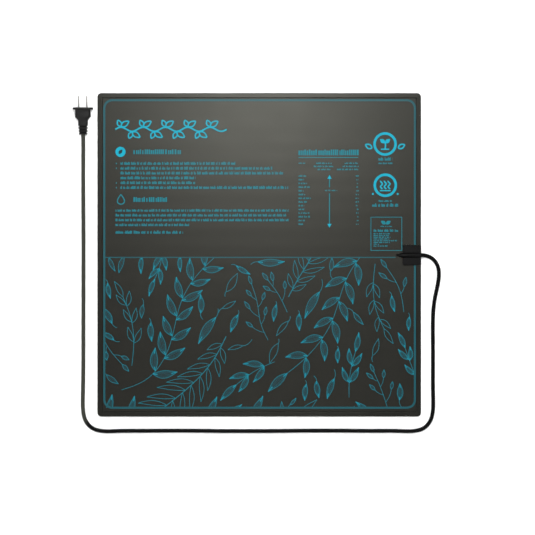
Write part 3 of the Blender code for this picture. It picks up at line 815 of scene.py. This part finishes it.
def bud_branch(points, twigs, length, width):
    """A thin stem with a bud at its tip and at the end of each twig, given as (share, side, reach)."""
    stem = path(*points)
    stalk(stem, 0.8)
    ahead = np.gradient(stem)
    leaf(stem[-1], unit(ahead[-1]), length, width, "bud")
    for share, side, reach in twigs:
        k = int(share * (len(stem) - 1))
        heading = unit(ahead[k]) * turned(side * 58)
        steps = np.linspace(0, 1, 9)
        twig = stem[k] + reach * steps * heading * np.exp(-0.3j * side * steps)
        stalk(twig, 0.75)
        leaf(twig[-1], unit(twig[-1] - twig[-2]), length * draw.uniform(0.85, 1.1), width, "bud")


def single_leaf(x, y, degrees, length, width, kind="nested", tail=10.0):
    """A leaf on its own, with a short curved stalk behind it."""
    base, heading = complex(x, y), turned(degrees)
    leaf(base, heading, length, width, kind, 0.15)
    steps = np.linspace(0, 1, 7)
    stalk(base - tail * steps * heading * np.exp(0.5j * steps), 0.8)


def print_foliage():
    """The lower field's pattern of sprigs, fronds, bud branches and loose leaves."""
    sprig([(-216, -212), (-178, -196), (-148, -160), (-134, -118), (-124, -78), (-104, -40), (-66, 0)],
          (0.22, 0.33, 0.445, 0.56, 0.675, 0.79, 0.9), 37, 11.5, 54)
    sprig([(166, 6), (142, -28), (128, -62), (116, -100), (94, -138), (66, -168), (44, -186)],
          (0.1, 0.24, 0.38, 0.52, 0.67, 0.83), 38, 11.8, 54)
    fern([(-52, -128), (-70, -162), (-100, -198), (-150, -240)], 8, 41, 7.4)
    fern([(46, -66), (61, -38), (77, -12), (94, 20)], 6, 36, 7)
    sprig([(-200, -174), (-197, -136), (-202, -98), (-214, -66)], (0.34, 0.62, 0.88), 25, 7.5, 40, "outline")
    sprig([(182, -14), (179, -50), (184, -88), (196, -116)], (0.3, 0.57, 0.84), 25, 7.5, 40, "outline")
    sprig([(-152, 4), (-156, -18), (-164, -38)], (0.12, 0.62), 26, 7.2, 40)
    sprig([(24, -168), (-6, -182), (-36, -204)], (0.26, 0.66), 32, 9, 40)
    sprig([(141, -224), (142, -192), (151, -152)], (0.34, 0.7), 28, 8.2, 38)
    sprig([(252, -206), (239, -174), (229, -146)], (0.3, 0.7), 24, 7.2, 36)
    bud_branch([(14, -134), (2, -106), (-3, -76), (-12, -46)],
               ((0.16, 1, 20), (0.3, -1, 15), (0.44, 1, 19), (0.6, -1, 13), (0.74, 1, 10)), 14, 4.8)
    bud_branch([(44, -90), (30, -62), (14, -40)], ((0.34, -1, 19), (0.6, 1, 11), (0.8, -1, 8)), 15, 5.2)
    bud_branch([(227, -90), (220, -54), (200, -20)], ((0.4, -1, 12), (0.66, 1, 15)), 16, 5.4)
    bud_branch([(204, -250), (192, -212), (180, -184)],
               ((0.3, -1, 22), (0.46, 1, 15), (0.64, -1, 15), (0.8, 1, 8)), 14, 4.8)
    bud_branch([(-252, -110), (-238, -144), (-215, -172)], ((0.5, -1, 9), (0.74, 1, 12)), 15, 5.4)
    for placed in (
        (-68, -98, 228, 50, 12.5, "lined", 14), (95, -58, 232, 48, 12, "lined", 20),
        (-92, -92, 82, 30, 9, "nested"), (63, -92, 262, 27, 8.5, "nested", 5),
        (-52, -58, 50, 34, 11, "outline", 8), (46, -104, 222, 30, 7.5, "outline", 8),
        (-58, -84, 20, 24, 6.5, "outline", 9), (-26, -143, 186, 24, 6, "outline", 18),
        (-231, -108, 112, 30, 9, "nested"), (-228, -134, 138, 22, 7, "nested", 9),
        (118, -194, 242, 34, 9, "nested", 14), (90, -198, 270, 27, 8.5, "nested", 9),
        (-184, -2, 258, 28, 7, "nested", 6), (-212, -2, 244, 28, 7, "bud", 6),
        (-236, -4, 286, 24, 6, "bud", 6), (-124, -2, 262, 25, 6.5, "nested", 4),
        (-84, -254, 52, 36, 9.5, "nested", 4), (-54, -252, 24, 32, 9, "nested", 4),
        (-206, -254, 64, 34, 9, "nested", 4), (-14, -254, 50, 38, 10, "nested", 4),
        (60, -250, 28, 38, 8.5, "outline", 4), (220, -228, 80, 26, 9, "nested", 12),
        (-240, -252, 66, 34, 9, "nested", 4), (128, -252, 24, 26, 6, "outline", 4),
        (-2, -11, 352, 42, 11, "nested", 12), (-36, -17, 320, 26, 7, "nested", 8),
        (34, -250, 78, 20, 5, "bud", 14), (48, -236, 40, 15, 4, "bud", 9),
        (148, -90, 300, 25, 6.5, "bud", 12), (112, -26, 76, 22, 6.5, "bud", 12),
        (-182, -78, 254, 22, 6.5, "bud", 10), (30, -139, 238, 34, 10.5, "outline", 7),
        (-240, -188, 314, 24, 7, "bud", 10),
        (176, -254, 128, 34, 9, "nested", 4), (178, -158, 62, 28, 8, "outline", 10),
        (208, -64, 272, 26, 7, "nested", 7), (236, -97, 258, 22, 6.5, "nested", 6),
        (27, -78, 252, 27, 7.5, "nested", 5), (-33, -94, 238, 30, 9, "nested", 7),
        (-170, -106, 264, 30, 9, "nested", 7), (-238, -44, 272, 25, 7, "nested", 6),
        (74, -203, 256, 26, 8, "nested", 6), (124, -147, 260, 23, 7, "nested", 4),
    ):
        single_leaf(*placed)


def small_lines(left, right, y, height, pen):
    """A line of small print, as plain ticks in groups; it can't be read."""
    x = left
    while x < right:
        for _ in range(draw.randint(2, 8)):
            width, tall = pen * draw.uniform(0.8, 1.5), height * draw.uniform(0.7, 1.2)
            small_print.bar(x, min(x + width, right + 0.3), y - height / 2, y - height / 2 + tall)
            x += width + 0.38 * pen
            if x >= right:
                break
        x += 2.3 * pen


def small_block(left, rights, y, step, height=3.6, pen=0.7):
    """Lines of small print, one under another, each ending at its own right."""
    for order, right in enumerate(rights):
        small_lines(left, right, y - order * step, height, pen)


def heading_bars(left, right, y, height=7.4):
    """A heading's place, kept as ticks of uneven width and height."""
    x = left
    while x + 2 <= right:
        width, tall = draw.uniform(1.7, 2.7), height * draw.choice((0.84, 1, 1))
        small_print.bar(x, x + width, y - height / 2, y - height / 2 + tall)
        x += width + draw.choice((0.9, 0.9, 0.9, 2))


def open_leaf(base, degrees, length, width, pen):
    """A leaf drawn as a bright outline."""
    spine, reach = lens(base, turned(degrees), length, width)
    outline = np.concatenate([(spine + reach)[1:-1], (spine - reach)[-2:0:-1]])
    bright_print.ribbon(outline, pen, closed=True)


def vine(left, right, y):
    """A waving stem with leaves above and below it, across the panel's head."""
    swing, pitch = 3.2, 17.5
    x = np.linspace(left, right, 90)
    wave = 2 * math.pi * (x - left) / (2 * pitch)
    bright_print.ribbon(x + 1j * (y + swing * np.sin(wave)), 2.4)
    for order in range(int((right - left) / pitch)):
        side = 1 if order % 2 == 0 else -1
        start = complex(left + (order + 0.5) * pitch, y + side * (swing + 1))
        open_leaf(start, side * 34, 15.5, 7.6, 2.1)
        open_leaf(start, side * 116, 11.5, 6.4, 2.1)


def badge(centre):
    bright_print.ring(centre, 16.5, 4)


def sprout_icon(centre):
    """A seedling with two leaves, standing on a bed."""
    stem = path((0, -8), (0.6, -2), (0, 4)) + centre
    bright_print.ribbon(stem, 2.4)
    for side in (-1, 1):
        spine, reach = lens(centre + 1.5j, turned(90 - side * 52), 10.5, 6.4)
        bright_print.slab((spine + reach)[1:-1], (spine - reach)[1:-1])
    bright_print.bar(centre.real - 6.5, centre.real + 6.5, centre.imag - 9.2, centre.imag - 7.2)


def warmth_icon(centre):
    """Three rising waves over a bar, for gentle heat."""
    rise = np.linspace(-6, 7, 20)
    for shift in (-6, 0, 6):
        bright_print.ribbon(centre + shift + 1.5 * np.sin(rise * 0.72) + 1j * rise, 2.3)
    bright_print.bar(centre.real - 8.5, centre.real + 8.5, centre.imag - 9.4, centre.imag - 7.4)


def arrow(x, low, high, gap_low, gap_high):
    """An upright line with a head at each end and a break in the middle."""
    head, half = 6.0, 3.4
    for tip, way, stop in ((high, -1, gap_high), (low, 1, gap_low)):
        base = tip + way * head
        bright_print.slab([complex(x, tip), complex(x + way * half, base)],
                          [complex(x - 0.05 * way, tip), complex(x - way * half, base)])
        small_print.bar(x - 0.7, x + 0.7, *sorted((base, stop)))


def print_text():
    """The ornament, the two headings with their signs, and the blocks of small print."""
    vine(-225.9, -51.2, 197.1)
    bright_print.disc(-217.8 + 161.7j, 8.0)
    spine, reach = lens(-220.8 + 158.2j, turned(50), 9.5, 5)
    dark_print.slab((spine + reach)[1:-1], (spine - reach)[1:-1])
    heading_bars(-197.5, -122.3, 161.8)
    for y in (143.4, 136, 112.8, 105.5):
        small_print.bar(-225.0, -223.6, y - 1.1, y + 1.1)
    small_block(-217.8, (-38, 20, 37, -100, -101, 45), 143.4, 7.58, 4.1, 0.74)
    drop = [complex(7.4 * math.sin(a) * abs(math.sin(a / 2)) ** 1.2, 7.6 * math.cos(a))
            for a in np.linspace(0, 2 * math.pi, 33)[1:-1]]
    small_print.ribbon(np.array(drop) + (-217.1 + 87.2j), 1.7, closed=True)
    heading_bars(-197.4, -143.4, 86.8)
    small_block(-225.6, (46, 42, 46, -110), 69.6, 7.55)
    small_lines(-225.6, -120, 35.3, 4.3, 0.95)


def print_table():
    """A table of two columns under a heading, with an arrow between them."""
    left, right, head = 61.7, 155.9, 143.8
    heading_bars(left, 155.6, 160.8, 8.8)
    small_print.bar(left, 155.3, 152.3, 153.4)
    small_lines(left, 71.9, head, 1.7, 0.5)
    for order, (half, start) in enumerate(((12, 134), (16, 131), (10, 122))):
        small_lines(101.5 - half, 101.5 + half, head - 4.9 * order, 2.2, 0.6)
        small_lines(start, right, head - 4.9 * order, 2.2, 0.6)
    for row in range(14):
        y = 123.8 - 5.82 * row
        small_lines(left, left + draw.uniform(8, 19), y, 2.5, 0.62)
        small_lines(right - draw.uniform(2, 5), right, y, 2, 0.6)
    arrow(110.3, 42.6, 125.4, 96.4, 106.0)
    small_lines(103.4, 122.2, 101.2, 2.2, 0.7)


def print_badges():
    """Two round badges, a seedling's and a gentle heat's, with small print under each."""
    badge(197.6 + 174j)
    sprout_icon(197.6 + 174j)
    badge(197.9 + 109.2j)
    warmth_icon(197.9 + 109.2j)
    for side in (-1, 1):
        open_leaf(197.6 + 20.5 * side + 167.5j, 90 - 62 * side, 12, 6.4, 2.3)
        bright_print.disc(197.9 + 19.5 * side + 95.5j, 1.6, 16)
    small_lines(187, 208.7, 150.2, 4.6, 0.9)
    small_lines(187, 208.7, 143.6, 2.2, 0.6)
    small_lines(187.4, 208.4, 84.4, 2.4, 0.6)
    small_lines(177.3, 219.7, 77.8, 4.6, 0.9)


def print_rating_panel():
    """A thin box with a small sprout over lines of small print."""
    box = [complex(175.4, 6.9), complex(223.8, 6.9), complex(223.8, 59.1), complex(175.4, 59.1)]
    for start, end in zip(box, box[1:] + box[:1]):
        small_print.ribbon([start, end], 0.9)
    for side in (-1, 1):
        spine, reach = lens(198.8 + 48j, turned(90 - 55 * side), 9.5, 5.6)
        small_print.slab((spine + reach)[1:-1], (spine - reach)[1:-1])
    small_lines(190.5, 208, 44.6, 1.8, 0.5)
    small_lines(179.5, 218.1, 37.9, 3.6, 0.85)
    small_block(179.5, (205, 203, 206, 204, 216, 206, 189), 33.2, 2.75, 1.8, 0.55)
    small_lines(179.5, 201, 13.8, 1.8, 0.5)


def print_frame():
    """The line round the panel, broken at the power entry, and the one across it."""
    middle = complex((FRAME_LEFT + FRAME_RIGHT) / 2, (FRAME_BOTTOM + FRAME_TOP) / 2)
    outline = outline_from_top((FRAME_RIGHT - FRAME_LEFT) / 2, (FRAME_TOP - FRAME_BOTTOM) / 2, 12.5)
    corners = [middle + complex(*point) for point in outline]
    start, end = complex(FRAME_RIGHT, ENTRY_HIGH), complex(FRAME_RIGHT, ENTRY_LOW)
    frame_print.ribbon([start, *corners, end], 3.2)
    frame_print.bar(FRAME_LEFT, 214, DIVIDER_Y - 0.8, DIVIDER_Y + 0.8)


print_frame()
print_text()
print_table()
print_badges()
print_rating_panel()
print_foliage()
for ink_print in (frame_print, small_print, bright_print, dark_print, leaf_print,
                  stalk_print, tip_print, vein_print):
    ink_print.finish()


# Stage


def add_stage():
    mesh = bpy.data.meshes.new("studio_floor")
    reach = 1.5
    mesh.from_pydata([(-reach, -reach, 0), (reach, -reach, 0), (reach, reach, 0), (-reach, reach, 0)],
                     [], [(0, 1, 2, 3)])
    floor = bpy.data.objects.new("studio_floor", mesh)
    floor.location.z = -0.0002
    bpy.context.scene.collection.objects.link(floor)
    s = Surface("studio_paper")
    grain = s.noise(60, detail=3)
    mesh.materials.append(s.finish(s.blend(grain, (0.95, 0.95, 0.95), (0.97, 0.97, 0.97)),
                                   s.ranged(grain, 0.3, 0.7, 0.85, 0.95)))


def add_light(name, place, aim, size, power):
    data = bpy.data.lights.new(name, "AREA")
    data.shape, data.size, data.energy = "DISK", size, power
    light = bpy.data.objects.new(name, data)
    light.location = place
    light.rotation_euler = (Vector(aim) - Vector(place)).to_track_quat("-Z", "Y").to_euler()
    light.visible_camera = False
    bpy.context.scene.collection.objects.link(light)


def add_lights():
    """Four soft boxes whiten the floor; small lights past the far and near edges give the sheen.

    The world is white up to a little above the horizon and nearly dark overhead.
    """
    reach, box_height, sheen_height = 3.2, 3.4, 1.43
    for number in range(4):
        angle = math.radians(45 + 90 * number)
        place = (reach * math.cos(angle), reach * math.sin(angle), box_height)
        add_light(f"side_{number}", place, (0, 0, 0), 2.5, 72)
    for name, y, size, power in (("sheen", 0.45, 0.2, 18), ("near_sheen", -0.75, 0.25, 3.2)):
        add_light(name, (0, y, sheen_height), (0, y, 0), size, power)
    world = bpy.data.worlds.new("studio")
    world.use_nodes = True
    tree = world.node_tree
    height = tree.nodes.new("ShaderNodeSeparateXYZ")
    fade = tree.nodes.new("ShaderNodeMapRange")
    for name, value in {"From Min": 0.14, "From Max": 0.34, "To Min": 1.0, "To Max": 0.03}.items():
        fade.inputs[name].default_value = value
    tree.links.new(tree.nodes.new("ShaderNodeTexCoord").outputs["Generated"], height.inputs["Vector"])
    tree.links.new(height.outputs["Z"], fade.inputs["Value"])
    tree.links.new(fade.outputs["Result"], tree.nodes["Background"].inputs["Strength"])
    tree.nodes["Background"].inputs["Color"].default_value = (1, 1, 1, 1)
    bpy.context.scene.world = world
    bpy.context.scene.view_settings.view_transform = "Standard"


add_stage()
add_lights()
